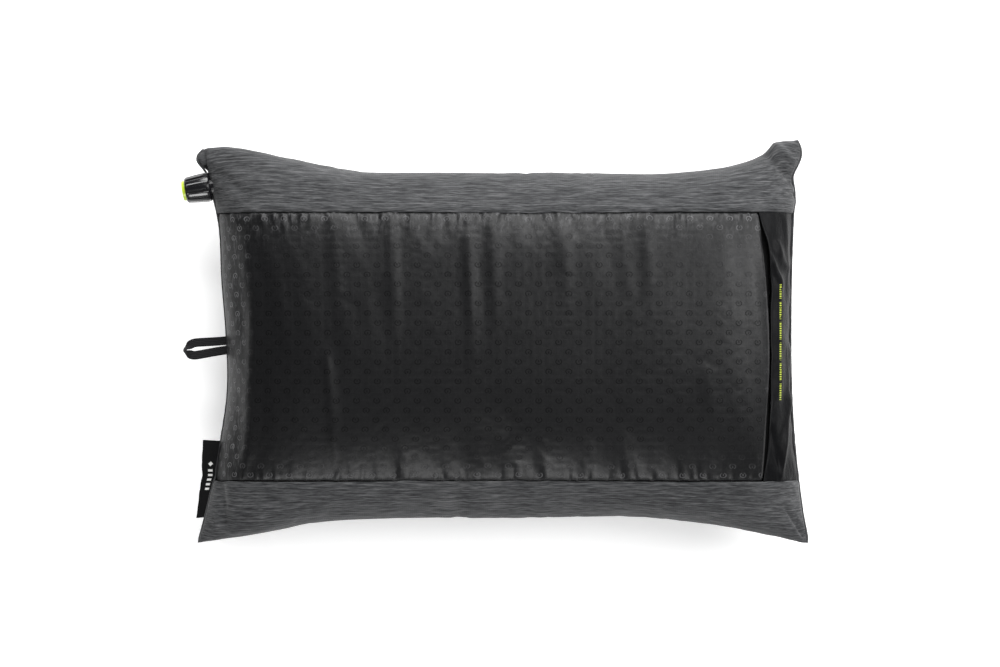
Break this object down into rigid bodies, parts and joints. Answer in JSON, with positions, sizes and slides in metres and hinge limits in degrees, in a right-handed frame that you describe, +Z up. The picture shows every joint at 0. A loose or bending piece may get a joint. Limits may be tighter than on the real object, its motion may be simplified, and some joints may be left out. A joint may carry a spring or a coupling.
{
  "type": "camp pillow",
  "caption": "Inflatable camp pillow with a knit cover, a coated back panel with a stuff pocket, a foam slab, an air bladder and a twist-and-press side valve.",
  "frame": {"origin": "middle of the box round the pillow, on the surface that the sleeping face rests on", "axes": "+X along the long side, away from the valve end; +Y across the pillow towards the valve's corner; +Z up, out of the back panel"},
  "size_m": [0.4423, 0.2838, 0.1],
  "materials": {
    "heather_knit": "heather grey jersey knit",
    "coated_ripstop": "black coated ripstop with an embossed motif, soft sheen",
    "pocket_lining": "black plain-woven lining",
    "seam_tape": "black woven tape",
    "webbing": "black ribbed webbing",
    "woven_label": "black woven tab",
    "foam": "open-cell foam, off white",
    "bladder_film": "grey coated film",
    "grip_plastic": "glossy black moulding",
    "button_plastic": "yellow-green moulding",
    "silicone": "translucent silicone",
    "spring_steel": "stainless wire"
  },
  "bodies": {
    "root": {"knit_wrap": "heather_knit", "back_panel": "coated_ripstop", "access_flap": "coated_ripstop", "pocket_lining": "pocket_lining", "side_seam_tape_left": "seam_tape", "side_seam_tape_right": "seam_tape", "foam_slab": "foam", "bladder_upper_skin": "bladder_film", "bladder_lower_skin": "bladder_film", "bladder_baffle_1": "bladder_film", "bladder_baffle_2": "bladder_film", "bladder_baffle_3": "bladder_film", "valve_base": "grip_plastic", "collar_o_ring": "silicone"},
    "grip": {"valve_collar": "grip_plastic"},
    "button": {"valve_button": "button_plastic", "valve_spring": "spring_steel", "poppet_seal": "silicone", "stem_clip": "spring_steel"},
    "loop": {"hang_loop": "webbing"},
    "label": {"side_label": "woven_label"},
    "lip": {"pocket_lip": "coated_ripstop", "pocket_hem": "coated_ripstop"}
  },
  "joints": [
    {"name": "grip_twist", "type": "hinge", "parent": "root", "child": "grip", "pos_m": [-0.1975, 0.1095, 0.048], "axis": [-0.9877, -0.1564, 0], "range_deg": [0, 90]},
    {"name": "button_press", "type": "slide", "parent": "grip", "child": "button", "axis": [0.9877, 0.1564, 0], "range_m": [0, 0.003], "stiffness_N_per_m": 700, "springref_m": -0.001, "deforming": ["valve_spring"]},
    {"name": "loop_flex", "type": "hinge", "parent": "root", "child": "loop", "pos_m": [-0.1902, -0.0029, 0.048], "axis": [0, 1, 0], "range_deg": [-45, 45], "stiffness_Nm_per_rad": 0.003},
    {"name": "label_flex", "type": "hinge", "parent": "root", "child": "label", "pos_m": [-0.2003, -0.0975, 0.048], "axis": [0.206, 0.9785, 0], "range_deg": [-45, 45], "stiffness_Nm_per_rad": 0.003},
    {"name": "lip_lift", "type": "hinge", "parent": "root", "child": "lip", "pos_m": [0.1462, 0, 0.0992], "axis": [0, -1, 0], "range_deg": [0, 30]}
  ]
}
